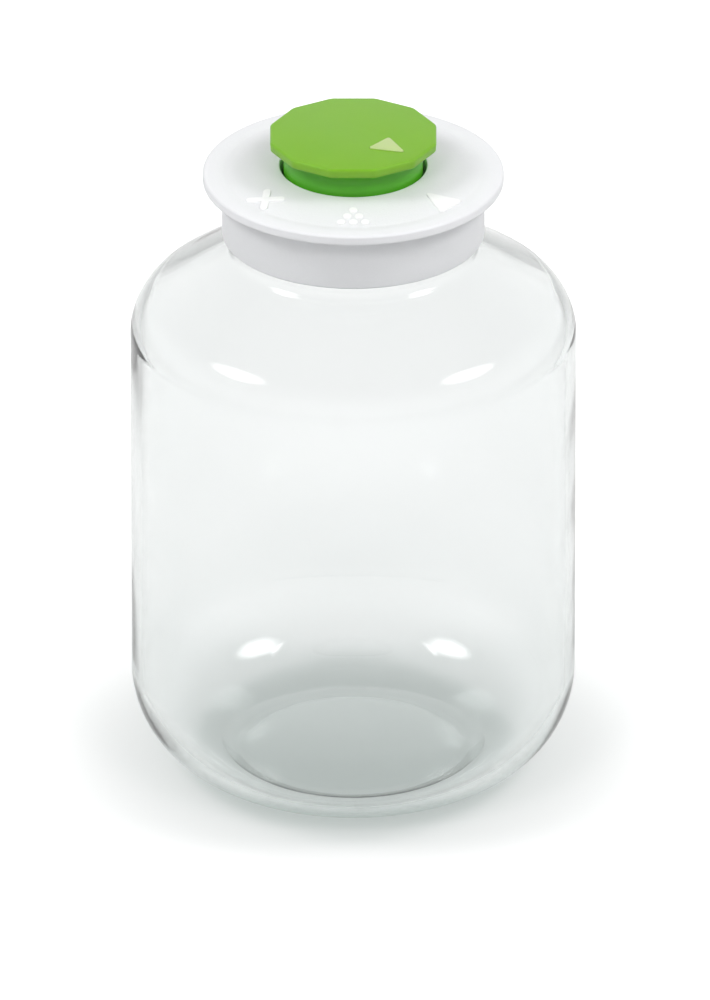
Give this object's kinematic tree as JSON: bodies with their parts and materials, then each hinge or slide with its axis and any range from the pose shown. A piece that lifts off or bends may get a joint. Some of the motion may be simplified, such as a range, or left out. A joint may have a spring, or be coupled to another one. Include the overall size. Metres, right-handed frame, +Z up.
{
  "type": "fermentation jar",
  "caption": "Large clear glass jar with a white flanged lid and a green twelve-sided valve knob that turns between three signs.",
  "frame": {"origin": "centre of the jar's standing ring, on the surface it stands on", "axes": "+Z up along the jar's axis; -Y is the front, towards which the lid's six-dot sign lies"},
  "size_m": [0.17, 0.17, 0.2646],
  "materials": {
    "clear_glass": "clear blown glass",
    "white_plastic": "fine grained matte moulding",
    "green_plastic": "satin moulding",
    "pale_green_plastic": "satin moulding",
    "inner_plastic": "matte moulding",
    "silicone": "soft translucent silicone",
    "black_rubber": "soft rubber",
    "spring_steel": "bright spring steel"
  },
  "bodies": {
    "jar": {"jar_glass": "clear_glass"},
    "seal": {"lid_seal": "silicone"},
    "lid": {"lid_cap": "white_plastic", "valve_seat": "silicone"},
    "knob": {"knob_shell": "green_plastic", "knob_pointer": "pale_green_plastic", "valve_rotor": "inner_plastic", "one_way_valve": "silicone", "stem_oring": "black_rubber", "thrust_washer": "inner_plastic", "retaining_ring": "spring_steel"}
  },
  "joints": [
    {"name": "lid_lift", "type": "slide", "parent": "jar", "child": "seal", "axis": [0, 0, 1], "range_m": [0, 0.06]},
    {"name": "lid_turn", "type": "hinge", "parent": "seal", "child": "lid", "pos_m": [0, 0, 0.24292], "axis": [0, 0, 1], "range_deg": [0, 75]},
    {"name": "knob_turn", "type": "hinge", "parent": "lid", "child": "knob", "pos_m": [0, 0, 0.24292], "axis": [0, 0, 1], "range_deg": [-98, 0]}
  ]
}
